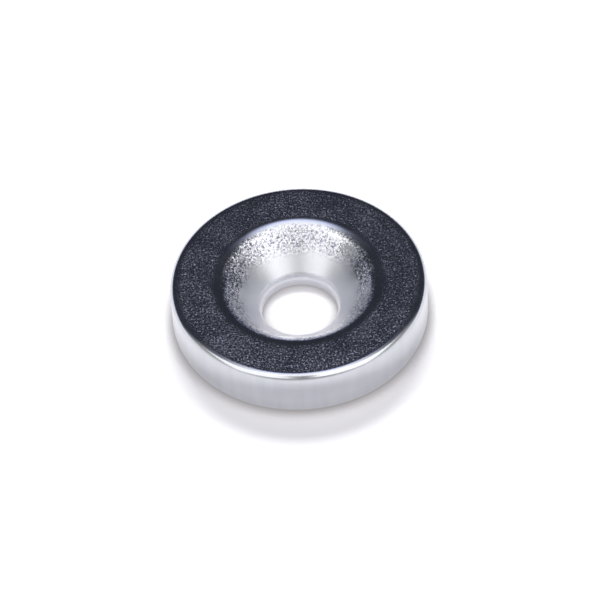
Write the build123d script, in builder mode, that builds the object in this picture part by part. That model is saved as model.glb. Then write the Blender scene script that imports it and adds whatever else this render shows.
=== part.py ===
"""Countersunk ring magnet: one sintered, nickel-plated ring for a flat-topped countersunk screw.

The ring lies flat with its plain face on the ground. The origin is the centre of that face, +Z runs up
the axis and out of the countersink. All sizes are in millimetres.
"""
from build123d import *
from math import radians, tan
import os

# Ring
outer_diameter = 15.0
thickness = 3.0

# Screw hole: a short straight land at the bottom, opening into a cone for the screw's head
hole_diameter = 4.5
countersink_diameter = 9.0
countersink_angle = 90.0
land_height = thickness - (countersink_diameter - hole_diameter) / 2 / tan(radians(countersink_angle / 2))

# Tumbled edges. The two on the land share its height, so they shrink with it
top_edge_radius = 0.45
bottom_edge_radius = 0.35
mouth_edge_radius = 1.1
throat_edge_radius = land_height
hole_edge_radius = 0.125 * land_height

with BuildPart() as ring_magnet:
    # The pressed blank is a plain disc
    with BuildSketch(Plane.XY):
        Circle(outer_diameter / 2)
    extrude(amount=thickness)

    # The hole and its countersink are cut from the top face
    with Locations((0, 0, thickness)):
        CounterSinkHole(
            radius=hole_diameter / 2,
            counter_sink_radius=countersink_diameter / 2,
            counter_sink_angle=countersink_angle,
        )

    # Its round edges, from the ground up: the hole's and the wall's, the throat's, the mouth's and the wall's
    round_edges = ring_magnet.edges().filter_by(GeomType.CIRCLE).group_by(Axis.Z)
    hole_edge, bottom_edge = round_edges[0].sort_by(SortBy.RADIUS)
    throat_edge = round_edges[1]
    mouth_edge, top_edge = round_edges[-1].sort_by(SortBy.RADIUS)

    # Tumbling before plating rounds every edge, and the outer and mouth edges most
    fillet(hole_edge, radius=hole_edge_radius)
    fillet(bottom_edge, radius=bottom_edge_radius)
    fillet(throat_edge, radius=throat_edge_radius)
    fillet(mouth_edge, radius=mouth_edge_radius)
    fillet(top_edge, radius=top_edge_radius)

ring_magnet.part.label = "ring_magnet"

os.makedirs("parts", exist_ok=True)
export_step(ring_magnet.part, "parts/ring_magnet.step")
print(f"ring magnet: volume {ring_magnet.part.volume:.1f} cubic mm, box {ring_magnet.part.bounding_box().size}")
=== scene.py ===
# %% [markdown]
# # Countersunk ring magnet
# A sintered magnet ring, plated with nickel, lies on a white table between two softboxes. This lesson
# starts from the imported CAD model, which gives the ring its place and its size. It turns a finer ring
# from one section, plates it and lights it. Blender works in metres, so a millimetre gets a name here.

# %% Load the frame and measure the ring
import math

import bpy
from mathutils import Matrix, Vector


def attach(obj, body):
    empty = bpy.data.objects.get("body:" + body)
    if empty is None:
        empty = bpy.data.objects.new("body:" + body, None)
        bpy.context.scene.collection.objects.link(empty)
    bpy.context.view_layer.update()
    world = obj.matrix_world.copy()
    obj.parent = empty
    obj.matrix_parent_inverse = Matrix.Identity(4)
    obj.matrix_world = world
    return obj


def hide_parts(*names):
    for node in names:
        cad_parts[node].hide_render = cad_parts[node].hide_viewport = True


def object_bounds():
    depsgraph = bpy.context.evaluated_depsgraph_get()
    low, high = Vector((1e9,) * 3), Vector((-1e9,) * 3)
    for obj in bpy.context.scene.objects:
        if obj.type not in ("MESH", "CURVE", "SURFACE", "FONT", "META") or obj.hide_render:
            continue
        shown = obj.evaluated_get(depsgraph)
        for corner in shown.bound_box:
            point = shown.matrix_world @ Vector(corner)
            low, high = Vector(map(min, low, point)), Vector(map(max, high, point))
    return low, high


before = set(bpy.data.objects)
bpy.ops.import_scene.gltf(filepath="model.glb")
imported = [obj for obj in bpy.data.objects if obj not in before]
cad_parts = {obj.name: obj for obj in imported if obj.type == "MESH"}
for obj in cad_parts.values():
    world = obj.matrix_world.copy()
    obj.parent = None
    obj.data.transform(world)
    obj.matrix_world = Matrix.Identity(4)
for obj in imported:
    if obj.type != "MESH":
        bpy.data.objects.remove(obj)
cad_low, cad_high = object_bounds()

MM = 0.001
# The CAD mesh has facets, so its box is a hair narrower on one side, and the ring keeps to that side
outer_radius = min(-cad_low.x, cad_high.x)
thickness = cad_high.z - cad_low.z
print(f"the ring is {2 * outer_radius / MM:.2f} mm across and {thickness / MM:.2f} mm thick")

# %% [markdown]
# ## The section of the ring
# The real ring is pressed from powder, sintered, ground, tumbled until its edges are round, and plated.
# It could be cut from a cylinder, as a lathe would, but a ring of edges is harder to pick out and round
# than one corner. So a flat section is drawn beside the axis, rounded there, and turned round the axis.

# %% The ring's own sizes
hole_radius = 2.25 * MM
mouth_radius = 4.5 * MM
countersink_slope = 1.0  # a 90 degree countersink falls as fast as it narrows
top_edge = 0.45 * MM
bottom_edge = 0.35 * MM
mouth_edge = 1.1 * MM

# The hole's straight land is what the countersink leaves, and its two edges are worn in proportion
land_height = thickness - (mouth_radius - hole_radius) * countersink_slope
throat_edge = land_height
hole_edge = land_height / 8
print(f"the straight part of the hole is {land_height / MM:.2f} mm high")

# %% Draw the section
bpy.ops.object.select_all(action="DESELECT")
width = outer_radius - hole_radius
bpy.ops.mesh.primitive_plane_add(size=1, location=(hole_radius + width / 2, 0, thickness / 2))
ring = bpy.context.object
ring.name = "plated_ring"
ring.scale = (width, thickness, 1)
ring.rotation_euler = (math.radians(90), 0, 0)
bpy.ops.object.transform_apply(location=True, rotation=True, scale=True)

# The countersink takes the corner above the hole
bpy.ops.object.mode_set(mode="EDIT")
bpy.ops.mesh.select_all(action="SELECT")
bpy.ops.mesh.bisect(
    plane_co=(mouth_radius, 0, thickness),
    plane_no=(-countersink_slope, 0, 1),
    use_fill=False,
    clear_outer=True,
)
bpy.ops.object.mode_set(mode="OBJECT")
print("corners of the section:", len(ring.data.vertices))

# %% [markdown]
# ## Round edges
# Tumbling wears each edge to its own radius. A Bevel modifier would give them all one width, so each
# corner of the section is picked by its place and bevelled alone. A bevel is measured along the two
# sides, and how far an arc of a given radius reaches along them depends on the corner's angle.


# %% Round the five corners
def round_corner(x, z, radius, corner_angle, segments):
    """Selects only the section's corner at x, z and rounds it with an arc of that radius."""
    bpy.ops.object.mode_set(mode="EDIT")
    bpy.ops.mesh.select_mode(type="VERT")
    bpy.ops.mesh.select_all(action="DESELECT")
    bpy.ops.object.mode_set(mode="OBJECT")
    corner = Vector((x, 0, z))
    nearest = min(ring.data.vertices, key=lambda vertex: (vertex.co - corner).length)
    nearest.select = True
    reach = radius / math.tan(math.radians(corner_angle) / 2)
    bpy.ops.object.mode_set(mode="EDIT")
    bpy.ops.mesh.bevel(offset=reach, segments=segments, affect="VERTICES")
    bpy.ops.object.mode_set(mode="OBJECT")
    print(f"corner at {x / MM:.2f}, {z / MM:.2f} rounded by {radius / MM:.2f} mm")


SQUARE = 90
BLUNT = 135  # where the cone meets the top face and the hole
round_corner(outer_radius, thickness, top_edge, SQUARE, segments=12)
round_corner(outer_radius, 0, bottom_edge, SQUARE, segments=8)
round_corner(hole_radius, 0, hole_edge, SQUARE, segments=5)
round_corner(hole_radius, land_height, throat_edge, BLUNT, segments=10)
round_corner(mouth_radius, thickness, mouth_edge, BLUNT, segments=14)

# %% [markdown]
# ## Turning the ring
# Spin carries the section round the axis in small steps. Only the outline of the section is turned, or
# the face itself would be left inside as a wall. The first and last steps meet, so their points are
# merged before the faces are told which way is out.

# %% Spin the outline round the axis
TURNS = 256
MERGE_DISTANCE = 1e-7
bpy.ops.object.mode_set(mode="EDIT")
bpy.ops.mesh.select_all(action="SELECT")
bpy.ops.mesh.delete(type="ONLY_FACE")
bpy.ops.mesh.select_all(action="SELECT")
bpy.ops.mesh.spin(steps=TURNS, angle=math.tau, center=(0, 0, 0), axis=(0, 0, 1))
bpy.ops.mesh.select_all(action="SELECT")
bpy.ops.mesh.remove_doubles(threshold=MERGE_DISTANCE)
bpy.ops.mesh.normals_make_consistent(inside=False)
bpy.ops.object.mode_set(mode="OBJECT")
print("faces of the turned ring:", len(ring.data.polygons))

# %% [markdown]
# ## Smooth edges between flat faces
# Smooth shading alone would bend the reflections on the ground faces near their edges, as if they were
# domed. Weighted normals let the largest face at each point decide, so the flats stay flat.

# %% Shade the ring and hang it on the CAD body
bpy.ops.object.shade_smooth()
weighted = ring.modifiers.new("Flats stay flat", "WEIGHTED_NORMAL")
weighted.mode = "FACE_AREA"
weighted.weight = 100
bpy.ops.object.modifier_apply(modifier=weighted.name)

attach(ring, "root")
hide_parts("ring_magnet")
print("the turned ring stands for the CAD ring")

# %% [markdown]
# ## Small helpers for materials
# A material is a tree of nodes, and long trees are easier to read when each line says what it does.
# These helpers add one node each and hand back its result. A colour or a number can be given as it is
# or as the result of another node.


# %% Helpers for materials
def new_material(name):
    """A material with an empty node tree."""
    material = bpy.data.materials.new(name)
    material.use_nodes = True
    material.node_tree.nodes.clear()
    return material, material.node_tree


def plug(tree, socket, value):
    """Links a result into a socket, or sets the socket to a plain value."""
    if isinstance(value, bpy.types.NodeSocket):
        tree.links.new(value, socket)
    else:
        socket.default_value = value


def maths(tree, operation, first, second=0.0):
    """A Math node."""
    node = tree.nodes.new("ShaderNodeMath")
    node.operation = operation
    plug(tree, node.inputs[0], first)
    plug(tree, node.inputs[1], second)
    return node.outputs[0]


def fade(tree, value, start, end, low=0.0, high=1.0):
    """A smooth change from low to high as the value goes from start to end."""
    node = tree.nodes.new("ShaderNodeMapRange")
    node.interpolation_type = "SMOOTHSTEP"
    plug(tree, node.inputs["Value"], value)
    plug(tree, node.inputs["From Min"], start)
    plug(tree, node.inputs["From Max"], end)
    plug(tree, node.inputs["To Min"], low)
    plug(tree, node.inputs["To Max"], high)
    return node.outputs["Result"]


def noise(tree, vector, scale, detail=2.0, roughness=0.5):
    """A Noise Texture. Its Fac is one random value, and its Color is three."""
    node = tree.nodes.new("ShaderNodeTexNoise")
    plug(tree, node.inputs["Vector"], vector)
    plug(tree, node.inputs["Scale"], scale)
    plug(tree, node.inputs["Detail"], detail)
    plug(tree, node.inputs["Roughness"], roughness)
    return node.outputs


def stretch(tree, vector, scale):
    """A Mapping node that only changes the scale."""
    node = tree.nodes.new("ShaderNodeMapping")
    plug(tree, node.inputs["Vector"], vector)
    plug(tree, node.inputs["Scale"], scale)
    return node.outputs["Vector"]


def mix_colours(tree, share, first, second):
    """The first colour where the share is 0, and the second where it is 1."""
    node = tree.nodes.new("ShaderNodeMix")
    node.data_type = "RGBA"
    # A Mix node keeps a set of sockets for each type of value, and these are the ones for colours
    plug(tree, node.inputs[0], share)
    plug(tree, node.inputs[6], first)
    plug(tree, node.inputs[7], second)
    return node.outputs[2]


# %% [markdown]
# ## Where the plating is rough
# The plating is a thin bright skin that copies what lies under it. The ground flat and the upper part of
# the countersink keep the grain of the sintered powder, while tumbling has worn the edges smooth. The
# ring is round, so each zone is found from the distance to the axis and the height, in millimetres. An
# image could be painted instead, but it would need an unwrapped mesh and a very fine picture.

# %% Measure from the axis
nickel, tree = new_material("nickel_plating")
object_place = tree.nodes.new("ShaderNodeTexCoord").outputs["Object"]
place = stretch(tree, object_place, (1 / MM, 1 / MM, 1 / MM))
axes = tree.nodes.new("ShaderNodeSeparateXYZ")
tree.links.new(place, axes.inputs["Vector"])
height = axes.outputs["Z"]
square_x = maths(tree, "POWER", axes.outputs["X"], 2)
square_y = maths(tree, "POWER", axes.outputs["Y"], 2)
radius = maths(tree, "SQRT", maths(tree, "ADD", square_x, square_y))

# %% The grainy flat, between the two worn edges
top = thickness / MM
flat_start = (mouth_radius + mouth_edge * math.tan(math.radians((180 - BLUNT) / 2))) / MM
flat_end = (outer_radius - top_edge) / MM
inner_side = fade(tree, radius, flat_start - 0.1, flat_start + 0.25)
outer_side = fade(tree, radius, flat_end - 0.2, flat_end + 0.15, 1, 0)
upper_side = fade(tree, height, top - 0.3, top - 0.1)
flat = maths(tree, "MULTIPLY", maths(tree, "MULTIPLY", inner_side, outer_side), upper_side)
print(f"the flat runs from {flat_start:.2f} to {flat_end:.2f} mm from the axis")

# %% The grainy part of the countersink
# It fades out towards the hole, ends at the worn mouth, and is worn smooth in patches
GRAIN_STARTS, GRAIN_IS_FULL = 1.5, 2.2
MOUTH_STARTS, MOUTH_IS_SMOOTH = 2.88, 2.97
INSIDE, OUTSIDE = 4.4, 4.7
LEAST_GRAIN = 0.35  # in the most worn patches
PATCHES_PER_MM = 0.45
inside = fade(tree, radius, INSIDE, OUTSIDE, 1, 0)
above_throat = fade(tree, height, GRAIN_STARTS, GRAIN_IS_FULL)
below_mouth = fade(tree, height, MOUTH_STARTS, MOUTH_IS_SMOOTH, 1, 0)
whole_cone = maths(tree, "MULTIPLY", maths(tree, "MULTIPLY", above_throat, below_mouth), inside)
patches = noise(tree, place, PATCHES_PER_MM)["Fac"]
cone = maths(tree, "MULTIPLY", whole_cone, fade(tree, patches, 0.4, 0.58, LEAST_GRAIN, 1.0))
grain = maths(tree, "ADD", flat, cone)
print(f"the countersink is grainy above {GRAIN_STARTS} mm and smooth above {MOUTH_IS_SMOOTH} mm")

# %% [markdown]
# ## The grain
# Each grain of the metal leans its own way, and so it mirrors another part of the room, dark or light.
# A Bump node gets there through heights, and how far it leans a grain then depends on the pattern's
# slopes. Here a fine noise of three values tips the surface's normal directly, so the lean is set by
# one number, which is larger in the countersink than on the ground flat.

# %% Tip every grain
GRAINS_PER_MM = 8.5
LEAN_ON_FLAT, LEAN_IN_CONE = 0.85, 1.3
NO_LEAN = (0.5, 0.5, 0.5)  # the middle of the noise
leaning = noise(tree, place, GRAINS_PER_MM, roughness=0.6)["Color"]
lean_on_flat = maths(tree, "MULTIPLY", flat, LEAN_ON_FLAT)
lean_in_cone = maths(tree, "MULTIPLY", cone, LEAN_IN_CONE)
centred = tree.nodes.new("ShaderNodeVectorMath")
centred.operation = "SUBTRACT"
plug(tree, centred.inputs[0], leaning)
plug(tree, centred.inputs[1], NO_LEAN)
tipped = tree.nodes.new("ShaderNodeVectorMath")
tipped.operation = "SCALE"
plug(tree, tipped.inputs[0], centred.outputs["Vector"])
plug(tree, tipped.inputs["Scale"], maths(tree, "ADD", lean_on_flat, lean_in_cone))
surface = tree.nodes.new("ShaderNodeNewGeometry")
leant = tree.nodes.new("ShaderNodeVectorMath")
plug(tree, leant.inputs[0], surface.outputs["Normal"])
plug(tree, leant.inputs[1], tipped.outputs["Vector"])
normal = tree.nodes.new("ShaderNodeVectorMath")
normal.operation = "NORMALIZE"
plug(tree, normal.inputs[0], leant.outputs["Vector"])
print(f"{GRAINS_PER_MM} grains to a millimetre")

# %% [markdown]
# ## The colour of the metal
# Nickel is a light, slightly cool grey. The outer wall has faint upright streaks, and the grain is a
# little darker. Everything inside the mouth is painted brighter, a painted sheen that stands in for the
# light the countersink mirrors from its own far wall. Its upper part has dark violet specks, painted
# reflections of the dark room in grains that lean its way. Each of these is one more colour, mixed over
# the last.

# %% Mix the colours
WALL_DARK = (0.62, 0.635, 0.675, 1)
WALL_LIGHT = (0.655, 0.67, 0.71, 1)
GRAIN_COLOUR = (0.585, 0.595, 0.65, 1)
# Painted sheen: the countersink and hole get a brighter colour that stands in for the light they mirror
# from their own walls
PAINTED_SHEEN_CONE_COLOUR = (0.72, 0.73, 0.77, 1)
# Painted reflections: dark violet specks stand for grains that mirror the dark room
PAINTED_DARK_REFLECTION_COLOUR = (0.30, 0.29, 0.38, 1)
STREAKS_PER_MM = 2.5
DARK_REFLECTIONS_PER_MM = 7.0
upright = stretch(tree, place, (1, 1, 0.1))
streaks = fade(tree, noise(tree, upright, STREAKS_PER_MM, detail=3.0)["Fac"], 0.3, 0.7)
# Where the painted dark reflections fall, in spots
painted_dark_reflections = fade(tree, noise(tree, place, DARK_REFLECTIONS_PER_MM)["Fac"], 0.52, 0.64)
metal = mix_colours(tree, streaks, WALL_DARK, WALL_LIGHT)
metal = mix_colours(tree, grain, metal, GRAIN_COLOUR)
# Painted sheen: everything inside the mouth is made brighter
metal = mix_colours(tree, inside, metal, PAINTED_SHEEN_CONE_COLOUR)
# Painted reflections of the dark room, only in the grainy part of the countersink
metal = mix_colours(tree, maths(tree, "MULTIPLY", cone, painted_dark_reflections), metal, PAINTED_DARK_REFLECTION_COLOUR)
print("colours mixed: wall, grain, countersink and pits")

# %% [markdown]
# ## How sharply it reflects
# The worn edges and the wall reflect most sharply. Single grains on the flat are duller than others,
# which makes them catch the light, and the throat of the countersink is evenly dull.

# %% Set the roughness and finish the plating
BRIGHT, LESS_BRIGHT = 0.17, 0.21
GRAIN_ADDS_LEAST, GRAIN_ADDS_MOST = 0.17, 0.31
THROAT_ADDS = 0.2
THROAT_ENDS, THROAT_IS_GONE = 1.5, 2.4
CLOUDS_PER_MM = 0.9
GLINTS_PER_MM = 9.0
clouds = noise(tree, place, CLOUDS_PER_MM, detail=3.0)["Fac"]
glints = noise(tree, place, GLINTS_PER_MM, detail=1.0)["Fac"]
dullest_grain = fade(tree, patches, 0.35, 0.65, GRAIN_ADDS_LEAST, GRAIN_ADDS_MOST)
dull_grain = maths(tree, "MULTIPLY", fade(tree, glints, 0.45, 0.7, 0.1, 1.0), dullest_grain)
throat = maths(tree, "MULTIPLY", fade(tree, height, THROAT_ENDS, THROAT_IS_GONE, 1, 0), inside)
rough = fade(tree, clouds, 0.3, 0.7, BRIGHT, LESS_BRIGHT)
rough = maths(tree, "ADD", rough, maths(tree, "MULTIPLY", grain, dull_grain))
rough = maths(tree, "ADD", rough, maths(tree, "MULTIPLY", throat, THROAT_ADDS))

shader = tree.nodes.new("ShaderNodeBsdfPrincipled")
shader.inputs["Metallic"].default_value = 1.0
plug(tree, shader.inputs["Base Color"], metal)
plug(tree, shader.inputs["Roughness"], rough)
plug(tree, shader.inputs["Normal"], normal.outputs["Vector"])
output = tree.nodes.new("ShaderNodeOutputMaterial")
plug(tree, output.inputs["Surface"], shader.outputs["BSDF"])
ring.data.materials.clear()
ring.data.materials.append(nickel)
print("plating nodes:", len(tree.nodes))

# %% [markdown]
# ## The white table
# A sheet of white acrylic fills the picture. It is a plain white that the lamps light, with a little
# glow of its own for the camera and for reflections, so that it reads as white and keeps the shadow.

# %% The table
TABLE_SIZE = 4.0
bpy.ops.object.select_all(action="DESELECT")
bpy.ops.mesh.primitive_plane_add(size=TABLE_SIZE, location=(0, 0, 0))
table_top = bpy.context.object
table_top.name = "table"
print(f"the table is {TABLE_SIZE} m wide")

# %% [markdown]
# ## The dark line under the ring
# Little light finds its way under the rounded bottom edge. Ambient Occlusion measures how much of the
# sky each point of the table sees, and what sees little is made darker. The metal mirrors the table
# right beside it, and a full shade would be too dark there, so reflections see only part of it.

# %% White acrylic
SHADE_REACH = 1.1 * MM
LEAST_LIGHT = 0.04
LEAST_IN_REFLECTIONS = 0.85
DARKEST_WHITE, LIGHTEST_WHITE = 0.79, 0.81
MOTTLES_PER_METRE = 90.0
acrylic, tree = new_material("white_acrylic")
table_place = tree.nodes.new("ShaderNodeTexCoord").outputs["Object"]
mottle = noise(tree, table_place, MOTTLES_PER_METRE)["Fac"]
white = fade(tree, mottle, 0.2, 0.8, DARKEST_WHITE, LIGHTEST_WHITE)
corner = tree.nodes.new("ShaderNodeAmbientOcclusion")
corner.samples = 8
corner.inputs["Distance"].default_value = SHADE_REACH
open_sky = fade(tree, corner.outputs["AO"], 0.4, 0.9, LEAST_LIGHT, 1.0)
path = tree.nodes.new("ShaderNodeLightPath")
in_reflections = maths(tree, "MULTIPLY", path.outputs["Is Glossy Ray"], LEAST_IN_REFLECTIONS)
open_sky = maths(tree, "MAXIMUM", open_sky, in_reflections)
diffuse = tree.nodes.new("ShaderNodeBsdfDiffuse")
plug(tree, diffuse.inputs["Color"], maths(tree, "MULTIPLY", white, open_sky))
print(f"the shade under the ring reaches {SHADE_REACH / MM} mm")

# %% The table's glow
GLOW = 0.36
seen = maths(tree, "MAXIMUM", path.outputs["Is Camera Ray"], path.outputs["Is Glossy Ray"])
seen = maths(tree, "MAXIMUM", seen, path.outputs["Is Transmission Ray"])
glow = tree.nodes.new("ShaderNodeEmission")
glow.inputs["Color"].default_value = (1, 0.96, 1, 1)
plug(tree, glow.inputs["Strength"], maths(tree, "MULTIPLY", seen, GLOW))
both = tree.nodes.new("ShaderNodeAddShader")
plug(tree, both.inputs[0], diffuse.outputs["BSDF"])
plug(tree, both.inputs[1], glow.outputs["Emission"])
output = tree.nodes.new("ShaderNodeOutputMaterial")
plug(tree, output.inputs["Surface"], both.outputs["Shader"])
table_top.data.materials.append(acrylic)
print(f"the table is lit from outside and glows by {GLOW}")

# %% [markdown]
# ## The room
# Metal is what it reflects. The flat top mirrors what stands behind the ring, so the room is dark there,
# which makes the flat dark. It is white at the horizon and at the ceiling, which the countersink mirrors,
# and light in front. The light of a world changes with direction, so it is set in degrees of height.

# %% The room's light
world = bpy.data.worlds.new("studio")
bpy.context.scene.world = world
world.use_nodes = True
tree = world.node_tree
tree.nodes.clear()
direction = tree.nodes.new("ShaderNodeTexCoord").outputs["Generated"]
axes = tree.nodes.new("ShaderNodeSeparateXYZ")
tree.links.new(direction, axes.inputs["Vector"])
in_front = fade(tree, axes.outputs["Y"], 0.3, 0.0)


def band(low_edge, high_edge, below, above):
    """A level of light that changes between two heights above the horizon, in degrees."""
    start = math.sin(math.radians(low_edge))
    end = math.sin(math.radians(high_edge))
    return fade(tree, axes.outputs["Z"], start, end, below, above)


horizon_behind = band(1, 9, 0.8, 0.0)
wall_and_ceiling_behind = band(62, 80, 0.035, 1.35)
horizon_in_front = band(4, 24, 0.5, 0.0)
wall_in_front = band(26, 34, 0.4, 0.32)
ceiling_in_front = band(62, 80, 0.0, 1.05)
light_behind = maths(tree, "ADD", horizon_behind, wall_and_ceiling_behind)
light_in_front = maths(tree, "ADD", maths(tree, "ADD", horizon_in_front, wall_in_front), ceiling_in_front)
light = tree.nodes.new("ShaderNodeMix")
plug(tree, light.inputs["Factor"], in_front)
plug(tree, light.inputs["A"], light_behind)
plug(tree, light.inputs["B"], light_in_front)
print("the room's light is mixed from five bands")

# %% The room's colour
COOL = (0.85, 0.92, 1.26, 1)
NEUTRAL = (1, 1, 1, 1)
background = tree.nodes.new("ShaderNodeBackground")
plug(tree, background.inputs["Color"], mix_colours(tree, in_front, COOL, NEUTRAL))
plug(tree, background.inputs["Strength"], light.outputs["Result"])
output = tree.nodes.new("ShaderNodeOutputWorld")
plug(tree, output.inputs["Surface"], background.outputs["Background"])
print("the room is cool behind the ring and neutral in front")

# %% [markdown]
# ## The softboxes
# Two large square lamps in front give the countersink and the front rim their white reflections. The gap
# between them stays darker, as a camera and its stand would be. A third lamp behind throws the ring's
# soft shadow forward. Each lamp does one thing: the softboxes show only in the metal, and the lamp
# behind doesn't show in it.


# %% The lamps
LAMP_DISTANCE = 0.6
SOFTBOX_UP = 57
BEHIND_UP = 129.5  # past the top and down the other side


def softbox(name, across, up, width, height, watts):
    """A lamp that faces the ring. It stands so many degrees to the right and above the table in front."""
    x_axis = Vector((1, 0, 0))
    towards = Matrix.Rotation(math.radians(-up), 3, x_axis) @ Vector((0, -1, 0))
    towards = towards * math.cos(math.radians(across)) + x_axis * math.sin(math.radians(across))
    data = bpy.data.lights.new(name, "AREA")
    data.shape = "RECTANGLE"
    data.size, data.size_y = width, height
    data.energy = watts
    lamp = bpy.data.objects.new(name, data)
    bpy.context.collection.objects.link(lamp)
    # Its sides stand square to the gap in the middle
    upright = towards.cross(x_axis).normalized()
    turn = Matrix((upright.cross(towards), upright, towards)).transposed()
    lamp.rotation_euler = turn.to_euler()
    lamp.location = towards * LAMP_DISTANCE
    lamp.visible_camera = False
    print(f"{name}: {watts} W, {width} by {height} m")
    return lamp


softbox_left = softbox("softbox_left", -31.5, SOFTBOX_UP, width=0.5, height=0.52, watts=0.98)
softbox_right = softbox("softbox_right", 29, SOFTBOX_UP, width=0.52, height=0.52, watts=1.16)
lamp_behind = softbox("lamp_behind", 0, BEHIND_UP, width=0.25, height=0.12, watts=2.6)
softbox_left.visible_diffuse = False
softbox_right.visible_diffuse = False
lamp_behind.visible_glossy = False

# %% [markdown]
# ## The camera
# A long lens looks down at the ring, turned a little about its own line of sight. It aims just above the
# ring's foot, and its distance and lens together set how large the ring stands in the frame.

# %% The camera
PICTURE_WIDTH = 600
SENSOR_WIDTH = 36.0
pixels_per_mm = 17.03
camera_distance = 250 * MM
camera_elevation = math.radians(48.7)
camera_roll = math.radians(3.8)
aim_right = 0.027 * MM
aim_up = 0.813 * MM

camera_data = bpy.data.cameras.new("camera")
camera_data.sensor_width = SENSOR_WIDTH
camera_data.lens = pixels_per_mm * (camera_distance / MM) * SENSOR_WIDTH / PICTURE_WIDTH
camera_data.clip_start = 0.01
camera_data.clip_end = 20
camera = bpy.data.objects.new("camera", camera_data)
bpy.context.collection.objects.link(camera)
tilt = Matrix.Rotation(math.pi / 2 - camera_elevation, 4, "X")
camera.rotation_euler = (tilt @ Matrix.Rotation(-camera_roll, 4, "Z")).to_euler()
camera.location = tilt @ Vector((aim_right, aim_up, camera_distance))
bpy.context.scene.camera = camera
bpy.context.scene.view_settings.view_transform = "Standard"
print(f"lens {camera_data.lens:.1f} mm")
